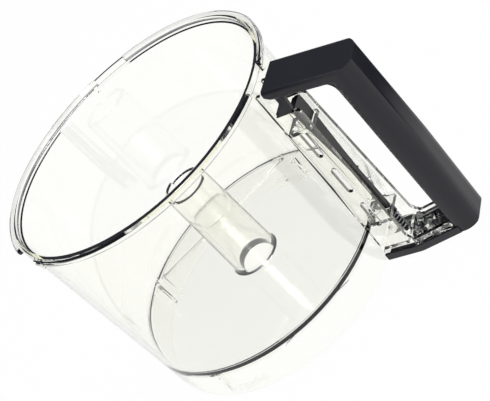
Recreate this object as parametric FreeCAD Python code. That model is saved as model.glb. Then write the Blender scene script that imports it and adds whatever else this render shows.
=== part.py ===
"""Food processor bowl: clear bowl, loop handle, sprung push rod, its spring and a screw.

Millimetres. The Z axis is the axis of the bowl, up through the mouth. The origin is the
lower mouth of the centre tube, level with the underside of the floor, where the bowl sits
on its drive base. +X points to the handle.
"""
import FreeCAD, Part
import math
import os

V = FreeCAD.Vector
UP = V(0, 0, 1)

# Wall and floor of the bowl
WALL = 2.8                    # wall thickness of the clear moulding
FLOOR_T = 3.0                 # floor thickness
BASE_R = 92.3                 # outside radius at the bottom rim
WALL_TOP_R = 94.4             # outside radius at the top, under the collar
SKIRT_H = 22.0                # skirt below the floor
BOWL_TOP = 128.3              # top of the rim above the floor underside
FLOOR_FILLET = 2.0            # inside corner of floor and wall
FLAT_COUNT = 3                # flats that make up that corner
BASE_EDGE = 0.5               # flat on the outer edge of the bottom rim

# Rim collar and its lid notches
COLLAR_OUT = 3.6              # how far the collar stands out from the wall
COLLAR_H = 4.2                # height of the collar
COLLAR_EDGE = 1.3             # rounding of the collar
LID_SEAT_H = 5.0              # depth of the lid seat inside the rim
LID_SEAT_IN = 1.0             # how far the lid seat is cut into the wall
NOTCH_AZ = (0.0, 123.0, 237.0)
NOTCH_SPAN = 15.0             # width of a lid notch in degrees
NOTCH_DEPTH = 2.6             # how far a notch cuts the collar back
NOTCH_STOP = 1.6              # width in degrees of the stop at the end of a notch

# Centre tube
TUBE_TOP = 74.6               # low side of the tube top
TUBE_LAND = 2.0               # raised part of the tube top
TUBE_LAND_AZ = (157.0, 250.0)
TUBE_BORE_R = 12.4
TUBE_WALL_TOP = 2.6           # tube wall at the top
TUBE_WALL_FOOT = 4.0          # tube wall at the floor
TUBE_FILLET = 1.2

# Locking lugs inside the skirt
LUG_AZ = (-95.2, 84.8)        # start of each lug, at its upright rib
LUG_SPAN = 16.6
LUG_IN = 5.0                  # how far a lug stands in from the skirt
LUG_T = 2.4                   # thickness of the upright rib and of the flange
LUG_BOX_SPAN = 5.3
LUG_BOX_H = 5.4
LUG_TOP_GAP = 4.5             # the upright rib ends this far below the floor
STOP_AZ = 176.2               # stop rib, as tall as the skirt
STOP_SPAN = 5.4
STOP_IN = 3.5
GUIDE_AZ = 133.7              # straight guide rib under the floor
GUIDE_DIST = 62.6
GUIDE_T = 1.6
GUIDE_H = 2.5
GUIDE_CORNER = 11.0

# Channel for the push rod, moulded on the outside of the wall
CHAN_T = 2.4                  # thickness of the side walls
CHAN_TOP_Y = 8.6              # outside half width at the top of the side walls
CHAN_REACH = 17.1             # free edges of the side walls, out from the widest part of the bowl wall
CHAN_BELOW = 25.5             # top of the side walls below the rim
STRIP_BELOW = 4.1             # narrow strips beside the bowl wall end this far below the collar
STRIP_REACH = 1.9             # and stand out this far
SLOT_W = 4.0                  # six slots in the side walls
SLOT_REACH = 7.9              # centre line of the slots, out from the bowl wall
SLOT_LOW = 5.4                # lower end of the lowest slot
SLOT_ABOVE = 15.4             # from the highest slot to the top of the side walls
SLOT_GAP = 10.4               # between two slots
SLOT_CORNER = 2.0
SLOT_COUNT = 3

# Bridges across the channel that guide the rod
BRIDGE_T = 2.6
BRIDGE_BELOW = 16.8           # underside of the upper bridge below the top of the side walls
BRIDGE_ABOVE = 6.4            # underside of the lower bridge above the foot of the skirt
BRIDGE_BACK = 1.3             # the bridges end this far inside the free edges

# Push rod
ROD_REACH = 12.6              # axis of the rod, out from the bowl wall
ROD_T = 2.8                   # thickness of the blade
ROD_SIDE_GAP = 0.5            # blade head to the side walls
ROD_TAPER = ((0.76, 0.78), (0.54, 0.45), (0.36, 0.28))# blade width down its length, in parts of the head
ROD_NECK_W = 3.2              # blade width through the stop bridge
ROD_PROUD = 0.6               # the rod at rest stands this far above the side walls
ROD_COLLAR_H = 2.6
ROD_COLLAR_R = 3.2
ROD_TOE = 2.2                 # the head reaches this far towards the bowl
ROD_TOE_H = 3.0
ROD_TOE_W = 9.0
ROD_CLEAR = 0.4               # clearance all round the rod in the bridges
ROD_TRAVEL = 5.0              # how far a lid pushes the rod down
STEM_R = 1.7
STEM_PROUD = 0.4              # the stem at rest stands this far below the lower bridge

# Return spring round the stem
SPRING_ROOM = 15.4            # from the lower bridge up to the collar of the rod
SPRING_WIRE = 0.8
SPRING_GAP = 0.35             # stem to coil, and coil to its seats
SPRING_TURNS = 5.0
SPRING_STEPS = 10             # straight pieces in a turn
SPRING_SIDES = 6              # sides of the wire

# Handle
H_ROOT_REACH = 8.6            # root end of the top arm, out from the bowl wall
H_ROOT_BELOW = 2.6            # top face at the root, below the rim
H_DROP = 6.4                  # how far the top face falls to its outer end
H_ARM_T = 6.6                 # depth of the top arm
H_REACH = 47.4                # inside face of the grip, out from the bowl wall
GRIP_TOP = 15.2               # depth of the grip at the top
GRIP_MID = 16.4               # depth of the grip halfway
GRIP_LOW = 15.4               # depth of the grip near the base
H_HALF_TOP = 14.0             # half width of arm and grip
H_HALF_BASE = 14.5            # half width of the tray at the base
H_SOFT = 4.0                  # rounding of the inside edges of the grip
H_NOSE = 10.4                 # rounding of the outside edges of the grip
H_LOW_NOSE = 2.5              # rounding of the lower edge of the grip
H_EDGE = 2.4                  # rounding of the top arm
H_KNEE = 8.0                  # inside corner of arm and grip
TRAY_H = 4.9                  # height of the tray sides
TRAY_T = 1.4
TRAY_GAP = 0.5                # tray to skirt
ARM_BEND = 4.5                # the lower arm rises from here, out from the channel
ARM_BEND_R = 20.0             # rounding of that bend
ARM_RISE = 0.21               # its slope, up to the foot of the grip
FOOT_REACH = (3.2, 13.8)      # feet under the top arm, out from the bowl wall
FIT = 0.25                    # clearance between handle and clear moulding

# Lower arm: clear ribs standing in the tray of the handle
RIB_T = 2.2
RIB_GAP = 8.6                 # spacing of the ribs
RIB_H = 5.6                   # height of the ribs above the plate
CORE_T = 2.0                  # plate under the ribs
CORE_GAP = 1.5                # inner end of the plate, out from the channel

# Screw that holds the tray to the clear moulding
SCREW_REACH = 12.5            # axis of the screw, out from the channel
SCREW_R = 1.4
SCREW_LEN = 10.0
SCREW_HEAD_R = 3.0
SCREW_HEAD_H = 1.5
SCREW_CLEAR = 0.1
BOSS_R = 4.2

# Sizes that follow from the ones above
WALL_R = max(BASE_R, WALL_TOP_R)
BASE_Z = -SKIRT_H
COLLAR_Z = BOWL_TOP - COLLAR_H
COLLAR_R = WALL_TOP_R + COLLAR_OUT
CHAN_OUT = WALL_R + CHAN_REACH
CHAN_TOP_Z = BOWL_TOP - CHAN_BELOW
CHAN_STRIP_X = WALL_R + STRIP_REACH
CHAN_STRIP_Z = COLLAR_Z - STRIP_BELOW
SLOT_X = WALL_R + SLOT_REACH
SLOT_H = (CHAN_TOP_Z - SLOT_ABOVE - SLOT_LOW - (SLOT_COUNT - 1) * SLOT_GAP) / SLOT_COUNT
BRIDGE_TOP_Z = CHAN_TOP_Z - BRIDGE_BELOW
BRIDGE_LOW_Z = BASE_Z + BRIDGE_ABOVE
BRIDGE_OUT = CHAN_OUT - BRIDGE_BACK
ROD_X = WALL_R + ROD_REACH
ROD_TOP = CHAN_TOP_Z + ROD_PROUD
ROD_COLLAR_Z = BRIDGE_LOW_Z + BRIDGE_T + SPRING_ROOM
H_ROOT_X = WALL_R + H_ROOT_REACH
H_TOP_ROOT = BOWL_TOP - H_ROOT_BELOW
H_TOP_OUT = H_TOP_ROOT - H_DROP
H_INNER_X = WALL_R + H_REACH
H_OUT_TOP = H_INNER_X + GRIP_TOP
H_OUT_MID = H_INNER_X + GRIP_MID
H_OUT_LOW = H_INNER_X + GRIP_LOW
ARM_RISE_X = CHAN_OUT + ARM_BEND
CORE_START = CHAN_OUT + CORE_GAP
SCREW_X = CHAN_OUT + SCREW_REACH
FAR = 2 * H_OUT_MID           # beyond every face, for the shapes that only cut
TUBE_TOP_R = TUBE_BORE_R + TUBE_WALL_TOP
TUBE_FOOT_R = TUBE_BORE_R + TUBE_WALL_FOOT
CORE_Z = BASE_Z + TRAY_T + FIT
CHAN_BASE_Y = H_HALF_BASE - TRAY_T - FIT
ROD_HEAD_W = 2 * (CHAN_TOP_Y - CHAN_T - ROD_SIDE_GAP)
ROD_STOP_Z = ROD_COLLAR_Z + ROD_COLLAR_H
STOP_Z = ROD_STOP_Z + SPRING_GAP
STEM_END = BRIDGE_LOW_Z - STEM_PROUD
GRIP_MID_Z = (H_TOP_OUT + BASE_Z) / 2
GRIP_FOOT_X = H_INNER_X + H_SOFT


def outer_r(z):
    """Outside radius of the wall at height z."""
    return BASE_R + (WALL_TOP_R - BASE_R) * (z - BASE_Z) / (BOWL_TOP - BASE_Z)


def inner_r(z):
    """Inside radius of the wall at height z."""
    return outer_r(z) - WALL


def chan_y(z):
    """Outside half width of the channel at height z."""
    return CHAN_TOP_Y + (CHAN_BASE_Y - CHAN_TOP_Y) * (CHAN_TOP_Z - z) / (CHAN_TOP_Z - BASE_Z)


def arm_top(x):
    """Height of the top face of the handle at distance x."""
    return H_TOP_ROOT + (H_TOP_OUT - H_TOP_ROOT) * (x - H_ROOT_X) / (H_OUT_TOP - H_ROOT_X)


def rounded(points, place):
    """Closed wire through corner points (u, v, radius); place turns (u, v) into a vector."""
    count = len(points)
    ends = []
    for i in range(count):
        u, v, r = points[i]
        pu, pv = points[i - 1][0] - u, points[i - 1][1] - v
        nu, nv = points[(i + 1) % count][0] - u, points[(i + 1) % count][1] - v
        lp, ln = math.hypot(pu, pv), math.hypot(nu, nv)
        pu, pv, nu, nv = pu / lp, pv / lp, nu / ln, nv / ln
        if r <= 0:
            ends.append((place(u, v), None, place(u, v)))
            continue
        half = math.acos(max(-1.0, min(1.0, pu * nu + pv * nv))) / 2
        back = r / math.tan(half)
        bu, bv = pu + nu, pv + nv
        lb = math.hypot(bu, bv)
        reach = r / math.sin(half) - r
        ends.append((place(u + pu * back, v + pv * back),
                     place(u + bu / lb * reach, v + bv / lb * reach),
                     place(u + nu * back, v + nv * back)))
    edges = []
    for i in range(count):
        first, mid, last = ends[i]
        if mid is not None:
            edges.append(Part.Arc(first, mid, last).toShape())
        nxt = ends[(i + 1) % count][0]
        if last.distanceToPoint(nxt) > 1e-6:
            edges.append(Part.makeLine(last, nxt))
    return Part.Wire(edges)


def flattened(points, flats):
    """The same outline, with each rounded corner made of a few small flats on its arc."""
    out = []
    for i, (u, v, r) in enumerate(points):
        if r <= 0:
            out.append((u, v, 0))
            continue
        steps = flats if r >= FLOOR_FILLET else 1
        sides = []
        for other in (points[i - 1], points[(i + 1) % len(points)]):
            du, dv = other[0] - u, other[1] - v
            length = math.hypot(du, dv)
            sides.append((du / length, dv / length))
        (pu, pv), (nu, nv) = sides
        half = math.acos(pu * nu + pv * nv) / 2
        back = r / math.tan(half)
        reach = r / math.sin(half)
        bu, bv = pu + nu, pv + nv
        length = math.hypot(bu, bv)
        cu, cv = u + bu / length * reach, v + bv / length * reach
        first = math.atan2(v + pv * back - cv, u + pu * back - cu)
        last = math.atan2(v + nv * back - cv, u + nu * back - cu)
        sweep = (last - first + math.pi) % (2 * math.pi) - math.pi
        for k in range(steps + 1):
            a = first + sweep * k / steps
            out.append((cu + r * math.cos(a), cv + r * math.sin(a), 0))
    return out


def plate_xz(points, y0, y1):
    """Solid with a rounded outline in X and Z, from y0 to y1."""
    face = Part.Face(rounded(points, lambda u, v: V(u, y0, v)))
    return face.extrude(V(0, y1 - y0, 0))


def plate_yz(points, x0, x1):
    """Solid with a rounded outline in Y and Z, from x0 to x1."""
    face = Part.Face(rounded(points, lambda u, v: V(x0, u, v)))
    return face.extrude(V(x1 - x0, 0, 0))


def plate_xy(points, z0, z1):
    """Solid with a rounded outline in X and Y, from z0 to z1."""
    face = Part.Face(rounded(points, lambda u, v: V(u, v, z0)))
    return face.extrude(V(0, 0, z1 - z0))


def box(x0, x1, y0, y1, z0, z1):
    """Box between two corners."""
    return Part.makeBox(x1 - x0, y1 - y0, z1 - z0, V(x0, y0, z0))


def sector(r0, r1, z0, z1, a0, a1):
    """Part of a ring between two radii, heights and angles in degrees."""
    ring = Part.makeCylinder(r1, z1 - z0, V(0, 0, z0), UP, a1 - a0)
    ring = ring.cut(Part.makeCylinder(r0, z1 - z0 + 2, V(0, 0, z0 - 1), UP))
    ring.rotate(V(0, 0, 0), UP, a0)
    return ring


def wall_core():
    """Everything inside the middle of the bowl wall, used to trim what joins it outside."""
    low, high = BASE_Z - 5, BOWL_TOP + 5
    return Part.makeCone(outer_r(low) - WALL / 2, outer_r(high) - WALL / 2, high - low, V(0, 0, low))


def bowl_shell():
    """Wall, collar, floor, centre tube and skirt as one turned shape."""
    seat_r = inner_r(BOWL_TOP) + LID_SEAT_IN
    seat_z = BOWL_TOP - LID_SEAT_H
    tube_top = TUBE_TOP + TUBE_LAND
    points = [
        (inner_r(BASE_Z), BASE_Z, 0),
        (outer_r(BASE_Z), BASE_Z, BASE_EDGE),
        (outer_r(COLLAR_Z), COLLAR_Z, 0),
        (COLLAR_R, COLLAR_Z, COLLAR_EDGE * 0.7),
        (COLLAR_R, BOWL_TOP, COLLAR_EDGE),
        (seat_r, BOWL_TOP, 0.7),
        (seat_r, seat_z, 0),
        (inner_r(seat_z), seat_z - 0.6, 0),
        (inner_r(FLOOR_T), FLOOR_T, FLOOR_FILLET),
        (TUBE_FOOT_R, FLOOR_T, TUBE_FILLET),
        (TUBE_TOP_R, tube_top, 0.8),
        (TUBE_BORE_R, tube_top, 0.6),
        (TUBE_BORE_R, 0, 0),
        (inner_r(0), 0, 1.5),
    ]
    face = Part.Face(rounded(flattened(points, FLAT_COUNT), lambda u, v: V(u, 0, v)))
    shell = face.revolve(V(0, 0, 0), UP, 360)
    step = sector(TUBE_BORE_R - 2, TUBE_TOP_R + 2, TUBE_TOP, tube_top + 1,
                  TUBE_LAND_AZ[1] - 360, TUBE_LAND_AZ[0])
    return shell.cut(step)


def lid_notches():
    """Gaps in the collar where the tabs of a lid go in, each with a stop left at its end."""
    cuts = []
    for az in NOTCH_AZ:
        start = az - NOTCH_SPAN / 2
        cuts.append(sector(COLLAR_R - NOTCH_DEPTH, COLLAR_R + 2, COLLAR_Z - 1, BOWL_TOP + 1,
                           start, start + NOTCH_SPAN))
    return cuts


def notch_stops():
    """Low stops under the collar, beside each notch."""
    stops = []
    for az in NOTCH_AZ:
        start = az + NOTCH_SPAN / 2 + 1.0
        stops.append(sector(inner_r(COLLAR_Z) + WALL / 2, COLLAR_R - 0.8, COLLAR_Z - 3.4, COLLAR_Z + 0.5,
                            start, start + NOTCH_STOP))
    return stops


def locking_lugs():
    """Lugs inside the skirt: an upright rib, a flange at the rim and a box at its end."""
    solids = []
    r_out = inner_r(BASE_Z) + WALL / 2
    r_in = inner_r(BASE_Z) - LUG_IN
    rib_span = math.degrees(LUG_T / r_out)
    for az in LUG_AZ:
        end = az + LUG_SPAN
        solids.append(sector(r_in, r_out, BASE_Z, -LUG_TOP_GAP, az, az + rib_span))
        solids.append(sector(r_in, r_out, BASE_Z, BASE_Z + LUG_T, az, end))
        solids.append(sector(r_in, r_out, BASE_Z, BASE_Z + LUG_BOX_H, end - LUG_BOX_SPAN, end))
    solids.append(sector(r_out - WALL / 2 - STOP_IN, r_out, BASE_Z, 0.5, STOP_AZ, STOP_AZ + STOP_SPAN))
    return solids


def guide_rib():
    """Straight rib under the floor, with rounded corners that run back to the skirt."""
    r_mid = inner_r(0) + WALL / 2
    reach = r_mid - 4
    half = math.sqrt(reach ** 2 - GUIDE_DIST ** 2)
    outline = [(GUIDE_DIST, -half - 3, GUIDE_CORNER), (GUIDE_DIST, half + 3, GUIDE_CORNER),
               (r_mid + 20, half + 9, 0), (r_mid + 20, -half - 9, 0)]
    t = GUIDE_T
    low, r = GUIDE_DIST + t, GUIDE_CORNER - t
    inside = [(low, -half - 3 + t, r), (low, half + 3 - t, r),
              (r_mid + 30, half + 9, 0), (r_mid + 30, -half - 9, 0)]
    rib = plate_xy(outline, -GUIDE_H, 0.5).cut(plate_xy(inside, -GUIDE_H - 1, 1.5))
    rib.rotate(V(0, 0, 0), UP, GUIDE_AZ)
    return rib.common(Part.makeCylinder(r_mid, 10, V(0, 0, -5)))


def rise(x):
    """How far the lower arm has risen at distance x."""
    return min(max(0.0, x - ARM_RISE_X), GRIP_FOOT_X - ARM_RISE_X) * ARM_RISE


def arm_slab(z0, z1, x0, x1):
    """Slab that follows the lower arm, between two heights above the base."""
    points = [(x0, z0, 0), (ARM_RISE_X, z0, ARM_BEND_R), (x1, z0 + rise(x1), 0),
              (x1, z1 + rise(x1), 0), (ARM_RISE_X, z1, ARM_BEND_R), (x0, z1, 0)]
    return plate_xz(points, -FAR, FAR)


def between_walls(t):
    """Space between the side walls, reaching t into them."""
    y_top, y_base = chan_y(BOWL_TOP) - CHAN_T + t, chan_y(BASE_Z) - CHAN_T + t
    return plate_yz([(-y_base, BASE_Z, 0), (y_base, BASE_Z, 0), (y_top, BOWL_TOP, 0), (-y_top, BOWL_TOP, 0)],
                    BASE_R - 15, H_OUT_MID)


def channel():
    """Side walls with slots, bridges, and the ribbed lower arm behind them."""
    x_in, x_end = BASE_R - 15, H_INNER_X - FIT
    low_top = CORE_Z + CORE_T + RIB_H
    upper = plate_xz([(x_in, CORE_Z, 0), (CHAN_OUT, CORE_Z, 0), (CHAN_OUT, CHAN_TOP_Z, 2.5),
                      (CHAN_STRIP_X, CHAN_TOP_Z, 1.0), (CHAN_STRIP_X, CHAN_STRIP_Z, 1.0),
                      (x_in, CHAN_STRIP_Z, 0)], -FAR, FAR)
    side = upper.fuse(arm_slab(CORE_Z, low_top, x_in, x_end))
    corner = [(CHAN_OUT - 1, low_top - 1, 0), (CHAN_OUT + 5, low_top - 1, 0), (CHAN_OUT, low_top + 5, 0)]
    gusset = plate_xz(corner, -FAR, FAR)
    both = between_walls(CHAN_T).cut(between_walls(0))
    body = side.fuse(gusset).common(both)
    for k in range(SLOT_COUNT):
        x0, x1 = SLOT_X - SLOT_W / 2, SLOT_X + SLOT_W / 2
        z0 = SLOT_LOW + k * (SLOT_H + SLOT_GAP)
        z1, r = z0 + SLOT_H, SLOT_CORNER
        body = body.cut(plate_xz([(x0, z0, r), (x1, z0, r), (x1, z1, r), (x0, z1, r)], -FAR, FAR))
    more = []
    for z in (BRIDGE_TOP_Z, STOP_Z, BRIDGE_LOW_Z):
        more.append(box(x_in, BRIDGE_OUT, -FAR, FAR, z, z + BRIDGE_T))
    more.append(arm_slab(CORE_Z, CORE_Z + CORE_T, CORE_START, x_end))
    more.append(box(CORE_START, CORE_START + RIB_T, -FAR, FAR, CORE_Z, low_top))
    ribs = arm_slab(CORE_Z, low_top, CORE_START, x_end)
    for y in (-RIB_GAP / 2, RIB_GAP / 2):
        more.append(ribs.common(box(x_in, FAR, y - RIB_T / 2, y + RIB_T / 2, BASE_Z, FAR)))
    boss = Part.makeCylinder(BOSS_R, SKIRT_H, V(SCREW_X, 0, BASE_Z))
    more.append(boss.common(arm_slab(CORE_Z, low_top, CORE_START, x_end)))
    inner = between_walls(CHAN_T / 2)
    body = body.fuse([m.common(inner) for m in more])
    return body.cut(wall_core())


def rod_ways():
    """Openings in the bridges and the screw hole in the boss."""
    half_w, half_t = ROD_HEAD_W / 2 + ROD_CLEAR, ROD_T / 2 + ROD_CLEAR
    neck = ROD_NECK_W / 2 + ROD_CLEAR
    cuts = []
    for width, z in ((half_w, BRIDGE_TOP_Z), (neck, STOP_Z)):
        cuts.append(box(ROD_X - half_t, ROD_X + half_t, -width, width, z - 1, z + BRIDGE_T + 1))
    cuts.append(Part.makeCylinder(STEM_R + ROD_CLEAR, BRIDGE_T + 2, V(ROD_X, 0, BRIDGE_LOW_Z - 1)))
    cuts.append(Part.makeCylinder(SCREW_R + SCREW_CLEAR, SCREW_LEN, V(SCREW_X, 0, BASE_Z)))
    return cuts


def make_bowl():
    """The clear moulding."""
    shell = bowl_shell()
    shell = shell.cut(lid_notches())
    shell = shell.fuse(notch_stops() + locking_lugs() + [guide_rib(), channel()])
    shell = shell.cut(rod_ways())
    return shell.removeSplitter()


def turned_down(shape, x, z, dx, dz):
    """Turn a shape that runs along +Z from (x, z) so that it runs along (dx, dz)."""
    shape.rotate(V(x, 0, z), V(0, 1, 0), math.degrees(math.atan2(dx, dz)))
    return shape


def grip_back(z0, x0, z1, x1):
    """Straight bar with a round back, whose back runs from (x0, z0) to (x1, z1) and on both ways."""
    half = H_HALF_TOP
    points = [(x0 - H_REACH, -half, 0), (x0, -half, H_NOSE), (x0, half, H_NOSE), (x0 - H_REACH, half, 0)]
    return turned_down(plate_xy(points, z0 - FAR, z0 + FAR), x0, z0, x1 - x0, z1 - z0)


def arm_bar(depth, low_edge):
    """Bar below the sloping top face of the handle, with soft upper edges."""
    half, slope = H_HALF_TOP, H_DROP / (H_OUT_TOP - H_ROOT_X)
    points = [(-half, H_TOP_ROOT - depth, low_edge), (half, H_TOP_ROOT - depth, low_edge),
              (half, H_TOP_ROOT, H_EDGE), (-half, H_TOP_ROOT, H_EDGE)]
    bar = plate_yz(points, H_ROOT_X - FAR, H_ROOT_X + FAR)
    bar.rotate(V(H_ROOT_X, 0, H_TOP_ROOT), V(0, 1, 0), math.degrees(math.atan(slope)))
    return bar


def top_arm():
    """Top arm with soft edges and a relieved root."""
    x0, t = H_ROOT_X, H_ARM_T
    low = arm_top(x0) - t
    arm = arm_bar(t, 1.6).common(box(x0, GRIP_FOOT_X + 0.5, -FAR, FAR, 0, FAR))
    under = plate_xz([(x0 - 5, low - 5, 0), (x0 + 4, low - 5, 0), (x0 + 4, arm_top(x0 + 4) - t, 2.0),
                      (x0, low + t * 0.45, 0), (x0 - 5, low + t * 0.45, 0)], -FAR, FAR)
    return arm.cut(under)


def grip():
    """Grip with a slightly bowed round back, trimmed to the top face and to the lower arm."""
    half, soft = H_HALF_TOP, H_SOFT
    body = plate_xy([(H_INNER_X, -half, soft), (H_INNER_X + FAR, -half, 0), (H_INNER_X + FAR, half, 0),
                     (H_INNER_X, half, soft)], -FAR, FAR)
    body = body.common(grip_back(BASE_Z, H_OUT_LOW, GRIP_MID_Z, H_OUT_MID))
    body = body.common(grip_back(GRIP_MID_Z, H_OUT_MID, H_TOP_OUT, H_OUT_TOP))
    foot = BASE_Z + rise(GRIP_FOOT_X)
    out = H_OUT_LOW + 0.1
    keep = plate_xz([(ARM_RISE_X, BASE_Z, ARM_BEND_R), (GRIP_FOOT_X, foot, 10.0), (out, foot, H_LOW_NOSE),
                     (out + 1, GRIP_MID_Z, 0), (FAR, GRIP_MID_Z + 1, 0), (FAR, FAR, 0), (0, FAR, 0),
                     (0, BASE_Z, 0)], -FAR, FAR)
    body = body.common(arm_bar(FAR, 0)).common(keep)
    zc = arm_top(H_INNER_X) - H_ARM_T - H_KNEE + 0.8
    side = half - 2.5
    fill = box(H_INNER_X - H_KNEE, H_INNER_X + 3, -side, side, zc, zc + H_KNEE + 1.2)
    fill = fill.cut(Part.makeCylinder(H_KNEE, 2 * FAR, V(H_INNER_X - H_KNEE, -FAR, zc), V(0, 1, 0)))
    return body.fuse(fill)


def tray():
    """Tray under the lower arm, open towards the bowl."""
    b, t = H_HALF_BASE, TRAY_T
    slab = arm_slab(BASE_Z, BASE_Z + TRAY_H, BASE_R - 10, GRIP_FOOT_X)
    outer = box(BASE_R - 10, GRIP_FOOT_X, -b, b, -FAR, FAR)
    hollow = arm_slab(BASE_Z + t, FAR, BASE_R - 10, H_INNER_X).common(box(0, FAR, -b + t, b - t, -FAR, FAR))
    body = slab.common(outer).cut(hollow)
    return body.cut(Part.makeCylinder(BASE_R + TRAY_GAP, FAR, V(0, 0, BASE_Z - 10)))


def make_handle():
    """Black handle: top arm, grip and the tray that holds the lower arm."""
    block = tray().fuse([grip(), top_arm()])
    way = STEM_R + 4.0
    block = block.cut(box(0, CORE_START - 2, -way, way, BASE_Z - 1, BASE_Z + TRAY_T + 1))
    z = BASE_Z + rise(SCREW_X)
    hole = Part.makeCylinder(SCREW_R + 0.3, TRAY_T + 4, V(SCREW_X, 0, z - 2))
    sink = Part.makeCone(SCREW_HEAD_R + 1.2, SCREW_R + 0.3, SCREW_HEAD_H + 0.9, V(SCREW_X, 0, z - 0.8))
    feet = []
    x0, x1 = WALL_R + FOOT_REACH[0], WALL_R + FOOT_REACH[1]
    for s in (-1, 1):
        y = s * (chan_y(CHAN_TOP_Z) - CHAN_T / 2)
        foot_z = CHAN_TOP_Z + FIT
        points = [(x0, foot_z, 1.0), (x1, foot_z, 3.0), (x1 + 3, arm_top(x1) - 2.0, 0),
                  (x1 - 4, arm_top(x1) - 2.0, 0), (x1 - 4, foot_z + 8.5, 2.0), (x0, foot_z + 2.5, 0)]
        feet.append(plate_xz(points, y - CHAN_T / 2, y + CHAN_T / 2))
    return block.cut([hole, sink]).fuse(feet).removeSplitter()


def make_rod():
    """Push rod: toed head, tapered blade, collar and round stem."""
    half_t, span = ROD_T / 2, ROD_TOP - ROD_STOP_Z
    right = [(ROD_HEAD_W / 2 * w, ROD_STOP_Z + span * h, 12.0) for h, w in ROD_TAPER]
    right = [(ROD_HEAD_W / 2, ROD_TOP, 1.2), (ROD_HEAD_W / 2, ROD_STOP_Z + span * 0.9, 6.0)] + right
    right.append((ROD_NECK_W / 2, ROD_STOP_Z + span * 0.2, 4.0))
    right.append((ROD_NECK_W / 2, ROD_STOP_Z - 0.5, 0))
    points = right + [(-y, z, r) for y, z, r in reversed(right)]
    blade = plate_yz(points, ROD_X - half_t, ROD_X + half_t)
    toe = plate_xz([(ROD_X - half_t - ROD_TOE, ROD_TOP - ROD_TOE_H, 0.8), (ROD_X, ROD_TOP - ROD_TOE_H - 3, 0),
                    (ROD_X, ROD_TOP - 0.4, 0), (ROD_X - half_t - ROD_TOE, ROD_TOP - 0.4, 0.8)],
                   -ROD_TOE_W / 2, ROD_TOE_W / 2)
    collar = Part.makeCylinder(ROD_COLLAR_R, ROD_COLLAR_H, V(ROD_X, 0, ROD_COLLAR_Z))
    stem = Part.makeCylinder(STEM_R, ROD_COLLAR_Z - STEM_END + 0.5, V(ROD_X, 0, STEM_END))
    return blade.fuse([toe, collar, stem]).removeSplitter()


def make_spring():
    """Return spring between the lower bridge and the collar of the rod, as a run of short straight wires."""
    low = BRIDGE_LOW_Z + BRIDGE_T + SPRING_GAP + SPRING_WIRE / 2
    high = ROD_COLLAR_Z - SPRING_GAP - SPRING_WIRE / 2
    radius = STEM_R + SPRING_GAP + SPRING_WIRE / 2
    steps = int(SPRING_TURNS * SPRING_STEPS)
    rings = []
    for i in range(steps + 1):
        turn = 2 * math.pi * i / SPRING_STEPS
        out = V(math.cos(turn), math.sin(turn), 0)
        centre = V(ROD_X, 0, low + (high - low) * i / steps) + out * radius
        corners = []
        for k in range(SPRING_SIDES):
            a = 2 * math.pi * k / SPRING_SIDES
            corners.append(centre + (out * math.cos(a) + UP * math.sin(a)) * (SPRING_WIRE / 2))
        rings.append(Part.makePolygon(corners + [corners[0]]))
    return Part.makeLoft(rings, True, True)


def make_screw():
    """Countersunk screw, up through the tray into the boss."""
    z = BASE_Z + rise(SCREW_X - SCREW_HEAD_R) + 0.1
    head = Part.makeCone(SCREW_HEAD_R, SCREW_R, SCREW_HEAD_H, V(SCREW_X, 0, z))
    shank = Part.makeCylinder(SCREW_R, CORE_T + RIB_H, V(SCREW_X, 0, z))
    slot_a = box(SCREW_X - 1.7, SCREW_X + 1.7, -0.35, 0.35, z - 1, z + 0.9)
    slot_b = box(SCREW_X - 0.35, SCREW_X + 0.35, -1.7, 1.7, z - 1, z + 0.9)
    return head.fuse(shank).cut([slot_a, slot_b]).removeSplitter()


def save(shape, name):
    """Write one node as a STEP file."""
    solid = shape.Solids[0] if len(shape.Solids) == 1 else shape
    solid.exportStep("parts/" + name + ".step")


os.makedirs("parts", exist_ok=True)
save(make_bowl(), "bowl")
save(make_handle(), "handle")
save(make_rod(), "push_rod")
save(make_spring(), "return_spring")
save(make_screw(), "handle_screw")
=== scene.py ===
"""Looks, studio and camera for a clear food processor bowl with a black loop handle.

Metres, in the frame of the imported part: +Z up along the centre tube, +X towards the handle,
origin at the lower mouth of the centre tube. The bowl stands on its skirt.
"""
import logging
import math
from dataclasses import dataclass
from enum import Enum

import bpy
from mathutils import Matrix, Vector


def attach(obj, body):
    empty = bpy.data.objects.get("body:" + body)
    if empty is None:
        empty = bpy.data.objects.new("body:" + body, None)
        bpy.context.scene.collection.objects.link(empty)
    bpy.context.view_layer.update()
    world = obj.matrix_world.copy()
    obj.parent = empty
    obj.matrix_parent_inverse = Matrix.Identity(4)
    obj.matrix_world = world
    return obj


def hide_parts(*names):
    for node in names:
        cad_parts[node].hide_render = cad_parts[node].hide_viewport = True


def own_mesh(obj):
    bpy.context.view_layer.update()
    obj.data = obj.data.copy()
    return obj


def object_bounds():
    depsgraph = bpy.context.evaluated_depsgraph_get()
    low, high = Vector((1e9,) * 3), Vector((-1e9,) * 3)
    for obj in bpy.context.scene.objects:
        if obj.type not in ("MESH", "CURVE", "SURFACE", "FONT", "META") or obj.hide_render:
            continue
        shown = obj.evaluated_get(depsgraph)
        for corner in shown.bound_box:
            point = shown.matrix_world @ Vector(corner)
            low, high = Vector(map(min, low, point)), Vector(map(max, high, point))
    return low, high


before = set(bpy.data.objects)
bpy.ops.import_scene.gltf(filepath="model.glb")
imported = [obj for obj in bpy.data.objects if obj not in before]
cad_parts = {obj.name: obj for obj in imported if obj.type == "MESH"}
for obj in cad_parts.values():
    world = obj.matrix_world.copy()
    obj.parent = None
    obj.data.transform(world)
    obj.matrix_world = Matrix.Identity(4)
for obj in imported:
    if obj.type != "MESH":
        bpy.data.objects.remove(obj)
CAD_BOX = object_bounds()
LOG = logging.getLogger("bowl")
MM = 0.001
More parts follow.
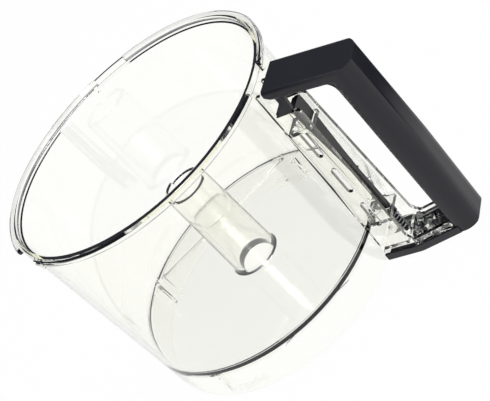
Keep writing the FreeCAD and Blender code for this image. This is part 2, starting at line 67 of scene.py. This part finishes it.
FLAT_TURN = math.radians(0.2)     # faces that turn less than this from each other are one flat face


def linear(code: str) -> tuple[float, float, float, float]:
    """Turn an sRGB hex colour into a linear one.

    Args:
        code: Six hex digits with a leading hash.

    Returns:
        Linear red, green and blue, and an alpha of 1.
    """
    parts = [int(code[i:i + 2], 16) / 255 for i in (1, 3, 5)]
    values = [c / 12.92 if c <= 0.04045 else ((c + 0.055) / 1.055) ** 2.4 for c in parts]
    return values[0], values[1], values[2], 1.0


def add_node(tree: bpy.types.NodeTree, kind: str, settings: dict | None = None,
             links: dict | None = None) -> bpy.types.Node:
    """Add one node to a tree.

    Args:
        tree: The node tree of a material or of the world.
        kind: The node's type name, such as ShaderNodeTexNoise.
        settings: Values by property name, or by socket name or number.
        links: Output sockets by the name or number of the input socket that they feed.

    Returns:
        The new node.
    """
    node = tree.nodes.new(kind)
    for key, value in (settings or {}).items():
        if isinstance(key, str) and hasattr(node, key):
            setattr(node, key, value)
        else:
            node.inputs[key].default_value = value
    for key, socket in (links or {}).items():
        tree.links.new(socket, node.inputs[key])
    return node


def new_material(name: str) -> tuple[bpy.types.Material, bpy.types.NodeTree, bpy.types.Node]:
    """Make an empty node material.

    Args:
        name: The finish's own name.

    Returns:
        The material, its node tree and its output node.
    """
    material = bpy.data.materials.new(name)
    material.use_nodes = True
    tree = material.node_tree
    tree.nodes.clear()
    return material, tree, add_node(tree, "ShaderNodeOutputMaterial")


@dataclass(frozen=True)
class ClearPolycarbonate:
    """Injection-moulded clear polycarbonate: polished by the mould, slightly cream in the depth."""

    name: str = "clear_polycarbonate"
    colour: str = "#FFFFFC"
    ior: float = 1.585
    absorb_colour: str = "#FCFBD8"
    absorb_per_metre: float = 6.0
    flow_mm: float = 70.0
    flow_bump: float = 0.015
    flow_depth_mm: float = 0.5
    tube_mm: float = 17.6
    tube_fade_mm: float = 2.0
    tube_haze: float = 0.05

    def build(self) -> bpy.types.Material:
        """Build the material: clear body, faint flow waves, cream depth, hazier centre tube.

        Returns:
            The material.
        """
        material, tree, out = new_material(self.name)
        place = add_node(tree, "ShaderNodeTexCoord")
        waves = add_node(tree, "ShaderNodeTexNoise",
                         {"Scale": 1000 / self.flow_mm, "Detail": 1.0},
                         {"Vector": place.outputs["Object"]})
        bump = add_node(tree, "ShaderNodeBump",
                        {"Strength": self.flow_bump, "Distance": self.flow_depth_mm * MM},
                        {"Height": waves.outputs["Fac"]})
        across = add_node(tree, "ShaderNodeVectorMath",
                          {"operation": "MULTIPLY", 1: (1.0, 1.0, 0.0)},
                          {0: place.outputs["Object"]})
        away = add_node(tree, "ShaderNodeVectorMath", {"operation": "LENGTH"},
                        {0: across.outputs["Vector"]})
        haze = add_node(tree, "ShaderNodeMapRange",
                        {"From Min": self.tube_mm * MM,
                         "From Max": (self.tube_mm + self.tube_fade_mm) * MM,
                         "To Min": self.tube_haze, "To Max": 0.0},
                        {"Value": away.outputs["Value"]})
        body = add_node(tree, "ShaderNodeBsdfPrincipled",
                        {"Base Color": linear(self.colour), "IOR": self.ior,
                         "Transmission Weight": 1.0},
                        {"Normal": bump.outputs["Normal"], "Roughness": haze.outputs["Result"]})
        depth = add_node(tree, "ShaderNodeVolumeAbsorption",
                         {"Color": linear(self.absorb_colour), "Density": self.absorb_per_metre})
        tree.links.new(body.outputs["BSDF"], out.inputs["Surface"])
        tree.links.new(depth.outputs["Volume"], out.inputs["Volume"])
        return material


@dataclass(frozen=True)
class EdgeWithPaintedShade:
    """Polycarbonate on slot sides and free edges: a slightly rough skin, and a grey colour that is
    painted shade for the dark lines that clear edges show.
    """

    name: str = "clear_polycarbonate_edge_painted_shade"
    # grey base colour: painted shade for the dark lines that refraction draws along clear edges
    colour: str = "#66665F"
    roughness: float = 0.22
    spread: float = 0.08
    ior: float = 1.585
    drag_mm: float = 0.8

    def build(self) -> bpy.types.Material:
        """Build the material: a clear body with a grey colour of painted shade, behind a fine
        drag-marked skin.

        Returns:
            The material.
        """
        material, tree, out = new_material(self.name)
        place = add_node(tree, "ShaderNodeTexCoord")
        drag = add_node(tree, "ShaderNodeTexNoise", {"Scale": 1000 / self.drag_mm, "Detail": 2.0},
                        {"Vector": place.outputs["Object"]})
        gloss = add_node(tree, "ShaderNodeMapRange",
                         {"To Min": self.roughness - self.spread,
                          "To Max": self.roughness + self.spread},
                         {"Value": drag.outputs["Fac"]})
        body = add_node(tree, "ShaderNodeBsdfPrincipled",
                        {"Base Color": linear(self.colour), "IOR": self.ior,
                         "Transmission Weight": 1.0},
                        {"Roughness": gloss.outputs["Result"]})
        tree.links.new(body.outputs["BSDF"], out.inputs["Surface"])
        return material


@dataclass(frozen=True)
class SatinAbs:
    """Black ABS from a spark-eroded mould: a fine satin grain that spreads its highlights."""

    name: str = "black_abs"
    colour: str = "#0A0A15"
    roughness: float = 0.38
    spread: float = 0.05
    ior: float = 1.47
    grain_mm: float = 0.4
    grain_bump: float = 0.12
    grain_depth_mm: float = 0.05
    patch_mm: float = 22.22

    def build(self) -> bpy.types.Material:
        """Build the material: satin grain in height and gloss, coarser than life so that it shows.

        Returns:
            The material.
        """
        material, tree, out = new_material(self.name)
        place = add_node(tree, "ShaderNodeTexCoord")
        grain = add_node(tree, "ShaderNodeTexNoise",
                         {"Scale": 1000 / self.grain_mm, "Detail": 2.0},
                         {"Vector": place.outputs["Object"]})
        patches = add_node(tree, "ShaderNodeTexNoise",
                           {"Scale": 1000 / self.patch_mm, "Detail": 3.0},
                           {"Vector": place.outputs["Object"]})
        gloss = add_node(tree, "ShaderNodeMapRange",
                         {"To Min": self.roughness - self.spread,
                          "To Max": self.roughness + self.spread},
                         {"Value": patches.outputs["Fac"]})
        bump = add_node(tree, "ShaderNodeBump",
                        {"Strength": self.grain_bump, "Distance": self.grain_depth_mm * MM},
                        {"Height": grain.outputs["Fac"]})
        body = add_node(tree, "ShaderNodeBsdfPrincipled",
                        {"Base Color": linear(self.colour), "IOR": self.ior},
                        {"Roughness": gloss.outputs["Result"], "Normal": bump.outputs["Normal"]})
        tree.links.new(body.outputs["BSDF"], out.inputs["Surface"])
        return material


@dataclass(frozen=True)
class BrightSteel:
    """Drawn spring wire or zinc-plated screw steel: bright, with slight patches of dullness."""

    name: str = "spring_steel"
    colour: str = "#B9BABC"
    roughness: float = 0.28
    shinier: float = 0.06
    duller: float = 0.08
    patch_mm: float = 1.111

    def build(self) -> bpy.types.Material:
        """Build the material: a metal whose gloss varies a little.

        Returns:
            The material.
        """
        material, tree, out = new_material(self.name)
        place = add_node(tree, "ShaderNodeTexCoord")
        patches = add_node(tree, "ShaderNodeTexNoise",
                           {"Scale": 1000 / self.patch_mm, "Detail": 2.0},
                           {"Vector": place.outputs["Object"]})
        gloss = add_node(tree, "ShaderNodeMapRange",
                         {"To Min": self.roughness - self.shinier,
                          "To Max": self.roughness + self.duller},
                         {"Value": patches.outputs["Fac"]})
        body = add_node(tree, "ShaderNodeBsdfPrincipled",
                        {"Base Color": linear(self.colour), "Metallic": 1.0},
                        {"Roughness": gloss.outputs["Result"]})
        tree.links.new(body.outputs["BSDF"], out.inputs["Surface"])
        return material


class Finish(Enum):
    """The finishes of the part."""

    CLEAR = ClearPolycarbonate()
    # clear finish with a painted grey edge shade, for slot sides and free edges
    EDGE = EdgeWithPaintedShade()
    HANDLE = SatinAbs()
    ROD = SatinAbs(name="black_acetal", colour="#08080A", roughness=0.34, ior=1.48)
    SPRING = BrightSteel()
    SCREW = BrightSteel(name="zinc_steel", colour="#C4C6C8", roughness=0.32)


@dataclass
class SolidNode:
    """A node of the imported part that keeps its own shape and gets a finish."""

    node: str
    finish: Finish

    def build(self) -> None:
        """Put the finish on the node."""
        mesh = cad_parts[self.node].data
        mesh.materials.clear()
        mesh.materials.append(self.finish.value.build())
        LOG.info("%s: %s", self.node, self.finish.value.name)


def round_edges(piece: bpy.types.Object, allowed: list[bool], degrees: float, width_mm: float,
                segments: int) -> None:
    """Round the sharp edges that lie between two allowed faces.

    Args:
        piece: The active mesh object.
        allowed: For each face, whether its edges may be rounded.
        degrees: The least turn between two faces that counts as sharp.
        width_mm: The width of the rounding.
        segments: Faces across it.
    """
    mesh = piece.data
    users: dict[tuple[int, int], list[int]] = {}
    for face in mesh.polygons:
        for key in face.edge_keys:
            users.setdefault(key, []).append(face.index)
    chosen = []
    for edge in mesh.edges:
        faces = users.get(tuple(sorted(edge.vertices)), [])
        sharp = False
        if len(faces) == 2 and all(allowed[i] for i in faces):
            turn = mesh.polygons[faces[0]].normal.angle(mesh.polygons[faces[1]].normal, 0.0)
            sharp = turn > math.radians(degrees)
        chosen.append(sharp)
    bpy.ops.object.mode_set(mode="EDIT")
    bpy.ops.mesh.select_mode(type="EDGE")
    bpy.ops.mesh.select_all(action="DESELECT")
    bpy.ops.object.mode_set(mode="OBJECT")
    mesh.edges.foreach_set("select", chosen)
    bpy.ops.object.mode_set(mode="EDIT")
    bpy.ops.mesh.bevel(offset=width_mm * MM, segments=segments, affect="EDGES", clamp_overlap=True)
    bpy.ops.object.mode_set(mode="OBJECT")


@dataclass
class SmoothPiece:
    """A copy of a node whose loose triangles are joined, so that its round faces shine smoothly."""

    node: str
    body: str
    slot: str
    finish: Finish
    merge_mm: float = 0.002
    smooth_degrees: float = 24.0
    area_weight: int = 100

    def copy(self) -> bpy.types.Object:
        """Copy the node and join its triangles.

        Returns:
            The joined copy, active and alone selected.
        """
        piece = bpy.data.objects.new(self.node + "_skin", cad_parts[self.node].data.copy())
        bpy.context.scene.collection.objects.link(piece)
        bpy.ops.object.select_all(action="DESELECT")
        piece.select_set(True)
        bpy.context.view_layer.objects.active = piece
        bpy.ops.object.mode_set(mode="EDIT")
        bpy.ops.mesh.select_all(action="SELECT")
        bpy.ops.mesh.remove_doubles(threshold=self.merge_mm * MM)
        bpy.ops.object.mode_set(mode="OBJECT")
        return piece

    def smooth(self, piece: bpy.types.Object) -> None:
        """Smooth the round faces and keep the flat ones flat.

        Args:
            piece: The joined copy.
        """
        bpy.ops.object.shade_smooth_by_angle(angle=math.radians(self.smooth_degrees))
        bpy.ops.object.modifier_add(type="WEIGHTED_NORMAL")
        piece.modifiers[-1].keep_sharp = True
        piece.modifiers[-1].weight = self.area_weight
        bpy.ops.object.modifier_apply(modifier=piece.modifiers[-1].name)

    def dress(self, piece: bpy.types.Object) -> None:
        """Put the finish on the piece."""
        piece.data.materials.clear()
        piece.data.materials.append(self.finish.value.build())

    def build(self) -> bpy.types.Object:
        """Copy the node, smooth it, dress it and put it in the node's place.

        Returns:
            The finished piece.
        """
        piece = self.copy()
        self.smooth(piece)
        self.dress(piece)
        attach(piece, self.body)
        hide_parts(self.node)
        LOG.info("%s: %d faces", piece.name, len(piece.data.polygons))
        return piece


@dataclass
class CoilSpring(SmoothPiece):
    """The return spring, copied with a mesh of its own; the real one's coils close up towards its seat
    when the rod is pressed.
    """

    keep: float = 0.66

    def build(self) -> bpy.types.Object:
        """Build the spring and give it a mesh of its own.

        Returns:
            The finished piece.
        """
        piece = super().build()
        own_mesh(piece)
        return piece


@dataclass
class LoopHandle(SmoothPiece):
    """The black handle, with its edges rounded: most of all the crease round its top face."""

    sharp_degrees: float = 50.0
    crease_from: float = 0.100
    crease_mm: float = 1.1
    crease_faces: int = 3
    edge_mm: float = 0.4
    edge_faces: int = 2

    def smooth(self, piece: bpy.types.Object) -> None:
        """Join the flat faces, round the crease and the other sharp edges, and smooth the rest.

        Args:
            piece: The joined copy.
        """
        bpy.ops.object.mode_set(mode="EDIT")
        bpy.ops.mesh.select_all(action="SELECT")
        bpy.ops.mesh.dissolve_limited(angle_limit=FLAT_TURN)
        bpy.ops.object.mode_set(mode="OBJECT")
        high = [face.center.z > self.crease_from for face in piece.data.polygons]
        round_edges(piece, high, self.sharp_degrees, self.crease_mm, self.crease_faces)
        low = [face.center.z <= self.crease_from for face in piece.data.polygons]
        round_edges(piece, low, self.sharp_degrees, self.edge_mm, self.edge_faces)
        super().smooth(piece)


@dataclass
class ClearMoulding(SmoothPiece):
    """The clear bowl: turned walls that bend light as true circles do, and soft edges elsewhere."""

    edge_mm: float = 0.45
    edge_degrees: float = 40.0
    edge_faces: int = 2
    level_mm: float = 0.012           # how far a turned face may leave a straight slope
    skew: float = 0.09                # how far it may look sideways
    upright: float = 0.999            # a face that looks more up or down than this isn't turned
    least_slope: float = 0.0001       # the shortest slope that can be measured
    tube_reach: float = 0.018         # turned faces lie on the tube, inside this reach,
    wall_band: tuple[float, float] = (0.083, 0.0982)      # or on the wall, in this band
    wall_r: float = 0.0955
    lug_top: float = -0.004
    chan_inside: float = 0.0061       # the channel's side walls lie outside this half width
    chan_out: float = 0.1135
    chan_top: float = 0.1
    free_edge: float = 0.0045         # depth of the band that holds the free edges
    slot_x: float = 0.1023
    slot_half: float = 0.0023
    slots: tuple[tuple[float, float], ...] = ((0.0052, 0.0260), (0.0360, 0.0568), (0.0668, 0.0876))
    sideways: float = 0.9
    outwards: float = 0.6

    def turned(self, mesh: bpy.types.Mesh,
               face: bpy.types.MeshPolygon) -> tuple[float, float] | None:
        """Find the slope of a face that belongs to a turned wall.

        Args:
            mesh: The mesh of the bowl.
            face: One of its faces.

        Returns:
            The outward and upward parts of its normal, or None for a face of another kind.
        """
        spots = [mesh.vertices[i].co for i in face.vertices]
        rings = [(math.hypot(p.x, p.y), p.z) for p in spots]
        middle = face.center
        away = math.hypot(middle.x, middle.y)
        on_wall = self.wall_band[0] < away < self.wall_band[1]
        if away < MM or not (away < self.tube_reach or on_wall):
            return None
        side = (face.normal.y * middle.x - face.normal.x * middle.y) / away
        if abs(side) > self.skew or abs(face.normal.z) > self.upright:
            return None
        first = max(rings, key=lambda q: math.hypot(q[0] - rings[0][0], q[1] - rings[0][1]))
        last = max(rings, key=lambda q: math.hypot(q[0] - first[0], q[1] - first[1]))
        dr, dz = last[0] - first[0], last[1] - first[1]
        length = math.hypot(dr, dz)
        if length < self.least_slope:
            return None
        off = max(abs((q[0] - first[0]) * dz - (q[1] - first[1]) * dr) / length for q in rings)
        if off > self.level_mm * MM:
            return None
        out = (face.normal.x * middle.x + face.normal.y * middle.y) / away
        sign = 1 if out * dz - face.normal.z * dr > 0 else -1
        return sign * dz / length, -sign * dr / length

    def dress(self, piece: bpy.types.Object) -> None:
        """Put the clear finish on the piece, and the grey one with painted shade on slot sides and free
        edges.

        Args:
            piece: The joined and smoothed copy.
        """
        super().dress(piece)
        piece.data.materials.append(Finish.EDGE.value.build())
        for face in piece.data.polygons:
            spot = face.center
            slot = (abs(spot.y) > self.chan_inside and abs(face.normal.y) < self.sideways
                    and abs(spot.x - self.slot_x) < self.slot_half
                    and any(low < spot.z < high for low, high in self.slots))
            free = (self.chan_out - self.free_edge < spot.x < self.chan_out
                    and 0 < spot.z < self.chan_top and face.normal.x > self.outwards)
            # slot sides and free edges get the painted grey edge shade
            face.material_index = 1 if slot or free else 0

    def rounded(self, spot: Vector) -> bool:
        """Tell whether the mould rounds the edges at a place.

        Args:
            spot: The middle of a face.

        Returns:
            True on the slotted walls of the channel and on the lugs, False on bridges and ribs.
        """
        on_lug = spot.z < self.lug_top and spot.x < self.wall_r
        on_side = abs(spot.y) > self.chan_inside and spot.x < self.chan_out and spot.z > 0
        return on_lug or on_side

    def soften(self, piece: bpy.types.Object) -> None:
        """Join the flat faces, and round the edges of channel and lugs a little.

        Args:
            piece: The joined copy.
        """
        mesh = piece.data
        flat = [self.turned(mesh, face) is None for face in mesh.polygons]
        bpy.ops.object.mode_set(mode="EDIT")
        bpy.ops.mesh.select_mode(type="FACE")
        bpy.ops.mesh.select_all(action="DESELECT")
        bpy.ops.object.mode_set(mode="OBJECT")
        mesh.polygons.foreach_set("select", flat)
        bpy.ops.object.mode_set(mode="EDIT")
        bpy.ops.mesh.dissolve_limited(angle_limit=FLAT_TURN)
        bpy.ops.object.mode_set(mode="OBJECT")
        flat = [self.turned(mesh, face) is None and self.rounded(face.center)
                for face in mesh.polygons]
        round_edges(piece, flat, self.edge_degrees, self.edge_mm, self.edge_faces)

    def smooth(self, piece: bpy.types.Object) -> None:
        """Round the flat parts' edges, and give each turned wall the normals of a true circle.

        Args:
            piece: The joined copy.
        """
        self.soften(piece)
        super().smooth(piece)
        mesh = piece.data
        normals = [corner.vector.copy() for corner in mesh.corner_normals]
        for face in mesh.polygons:
            slope = self.turned(mesh, face)
            if slope is None:
                continue
            for i in face.loop_indices:
                spot = mesh.vertices[mesh.loops[i].vertex_index].co
                away = math.hypot(spot.x, spot.y)
                normals[i] = Vector((spot.x / away * slope[0], spot.y / away * slope[0], slope[1]))
        mesh.normals_split_custom_set(normals)


@dataclass(frozen=True)
class SoftBox:
    """A square-cornered soft lamp that faces the bowl."""

    name: str
    turn: float                       # direction round the bowl in degrees
    tilt: float                       # height above the table in degrees
    away: float
    size: tuple[float, float]
    watts: float

    def build(self) -> None:
        """Hang the lamp."""
        a, b = math.radians(self.turn), math.radians(self.tilt)
        way = Vector((math.cos(a) * math.cos(b), math.sin(a) * math.cos(b), math.sin(b)))
        data = bpy.data.lights.new(self.name, "AREA")
        data.shape = "RECTANGLE"
        data.size, data.size_y = self.size
        data.energy = self.watts
        lamp = bpy.data.objects.new(self.name, data)
        lamp.location = way * self.away
        lamp.rotation_euler = way.to_track_quat("Z", "Y").to_euler()
        bpy.context.scene.collection.objects.link(lamp)


@dataclass
class Studio:
    """White table in a dim room, soft boxes by the camera and above, and a tipped camera."""

    floor_size: float = 16.0
    floor_colour: str = "#F4F4F4"
    white: str = "#FFFFFF"
    camera_at: tuple[float, float, float] = (0.4438, -0.4438, 0.4128)
    camera_to: tuple[float, float, float] = (0.0140, 0.0140, 0.0359)
    lens_mm: float = 84.2
    sensor_mm: float = 36.0
    roll_degrees: float = -44.64
    room: str = "#7C7F88"
    fill: float = 0.35
    table_clear: float = 0.98
    table_gloss: float = 0.85
    sweep_top: float = 0.05
    room_from: float = 0.25
    lamps: tuple[SoftBox, ...] = (
        SoftBox("front_box", -45.0, 36.0, 1.7, (0.34, 0.9), 12.0),
        SoftBox("front_glow", -45.0, 36.0, 1.8, (0.9, 1.2), 4.0),
        SoftBox("top_box", 60.0, 75.0, 1.8, (0.9, 0.9), 8.0),
    )

    def seen(self, tree: bpy.types.NodeTree) -> bpy.types.NodeSocket:
        """Tell rays that show the background from rays that light things.

        Args:
            tree: The node tree to work in.

        Returns:
            The share of plain white that a ray sees: nearly all straight on and through glass,
            a little less in a mirror, none for the light that falls on the table.
        """
        path = add_node(tree, "ShaderNodeLightPath")
        both = add_node(tree, "ShaderNodeMath", {"operation": "MAXIMUM"},
                        {0: path.outputs["Is Camera Ray"], 1: path.outputs["Is Transmission Ray"]})
        clear = add_node(tree, "ShaderNodeMath", {"operation": "MULTIPLY", 1: self.table_clear},
                         {0: both.outputs[0]})
        gloss = add_node(tree, "ShaderNodeMath", {"operation": "MULTIPLY", 1: self.table_gloss},
                         {0: path.outputs["Is Glossy Ray"]})
        return add_node(tree, "ShaderNodeMath", {"operation": "MAXIMUM"},
                        {0: clear.outputs[0], 1: gloss.outputs[0]}).outputs[0]

    def floor(self) -> None:
        """Lay the white table under the skirt."""
        bpy.ops.object.select_all(action="DESELECT")
        bpy.ops.mesh.primitive_plane_add(size=self.floor_size, location=(0, 0, CAD_BOX[0][2]))
        table = bpy.context.object
        table.name = "table"
        bpy.ops.object.transform_apply(location=True, rotation=False, scale=False)
        material, tree, out = new_material("white_table")
        paint = add_node(tree, "ShaderNodeBsdfDiffuse", {"Color": linear(self.floor_colour)})
        glow = add_node(tree, "ShaderNodeEmission", {"Color": linear(self.white), "Strength": 1.0})
        mix = add_node(tree, "ShaderNodeMixShader", None,
                       {0: self.seen(tree), 1: paint.outputs[0], 2: glow.outputs[0]})
        tree.links.new(mix.outputs[0], out.inputs["Surface"])
        table.data.materials.append(material)

    def world(self) -> None:
        """Make the room: gloss and glass see a white sweep low down and dim walls above it."""
        world = bpy.data.worlds.new("studio")
        bpy.context.scene.world = world
        world.use_nodes = True
        tree = world.node_tree
        tree.nodes.clear()
        out = add_node(tree, "ShaderNodeOutputWorld")
        place = add_node(tree, "ShaderNodeTexCoord")
        height = add_node(tree, "ShaderNodeSeparateXYZ", None, {0: place.outputs["Generated"]})
        ramp = add_node(tree, "ShaderNodeValToRGB", None, {"Fac": height.outputs["Z"]})
        ramp.color_ramp.elements[0].position = self.sweep_top
        ramp.color_ramp.elements[0].color = linear(self.white)
        ramp.color_ramp.elements[1].position = self.room_from
        ramp.color_ramp.elements[1].color = linear(self.room)
        path = add_node(tree, "ShaderNodeLightPath")
        mirror = add_node(tree, "ShaderNodeMath", {"operation": "MAXIMUM"},
                          {0: path.outputs["Is Glossy Ray"],
                           1: path.outputs["Is Transmission Ray"]})
        plain = add_node(tree, "ShaderNodeBackground",
                         {"Color": linear(self.white), "Strength": self.fill})
        back = add_node(tree, "ShaderNodeBackground",
                        {"Color": linear(self.white), "Strength": 1.0})
        room = add_node(tree, "ShaderNodeBackground", {"Strength": 1.0},
                        {"Color": ramp.outputs["Color"]})
        direct = add_node(tree, "ShaderNodeMixShader", None,
                          {0: path.outputs["Is Camera Ray"], 1: plain.outputs[0],
                           2: back.outputs[0]})
        mixed = add_node(tree, "ShaderNodeMixShader", None,
                         {0: mirror.outputs[0], 1: direct.outputs[0], 2: room.outputs[0]})
        tree.links.new(mixed.outputs[0], out.inputs["Surface"])

    def camera(self) -> None:
        """Place the camera and tip it about its own line of sight."""
        data = bpy.data.cameras.new("view")
        data.lens = self.lens_mm
        data.sensor_width = self.sensor_mm
        data.sensor_fit = "HORIZONTAL"
        camera = bpy.data.objects.new("view", data)
        bpy.context.scene.collection.objects.link(camera)
        line = Vector(self.camera_to) - Vector(self.camera_at)
        aim = line.to_track_quat("-Z", "Y").to_matrix().to_4x4()
        tip = Matrix.Rotation(math.radians(self.roll_degrees), 4, "Z")
        camera.matrix_world = Matrix.Translation(self.camera_at) @ aim @ tip
        bpy.context.scene.camera = camera

    def build(self) -> None:
        """Set up the table, the room, the lamps and the camera."""
        self.floor()
        self.world()
        for box in self.lamps:
            box.build()
        self.camera()
        bpy.context.scene.view_settings.view_transform = "Standard"
        LOG.info("studio: %d lamps", len(self.lamps))


def main() -> None:
    """Dress the part and set up the studio."""
    logging.basicConfig(level=logging.INFO, format="%(name)s: %(message)s")
    ClearMoulding("bowl", "bowl_body", "clear_polycarbonate", Finish.CLEAR, smooth_degrees=50.0).build()
    LoopHandle("handle", "bowl_body", "black_abs", Finish.HANDLE).build()
    SmoothPiece("push_rod", "rod_body", "black_acetal", Finish.ROD).build()
    CoilSpring("return_spring", "bowl_body", "spring_steel", Finish.SPRING).build()
    SolidNode("handle_screw", Finish.SCREW).build()
    Studio().build()


if __name__ == "__main__":
    main()
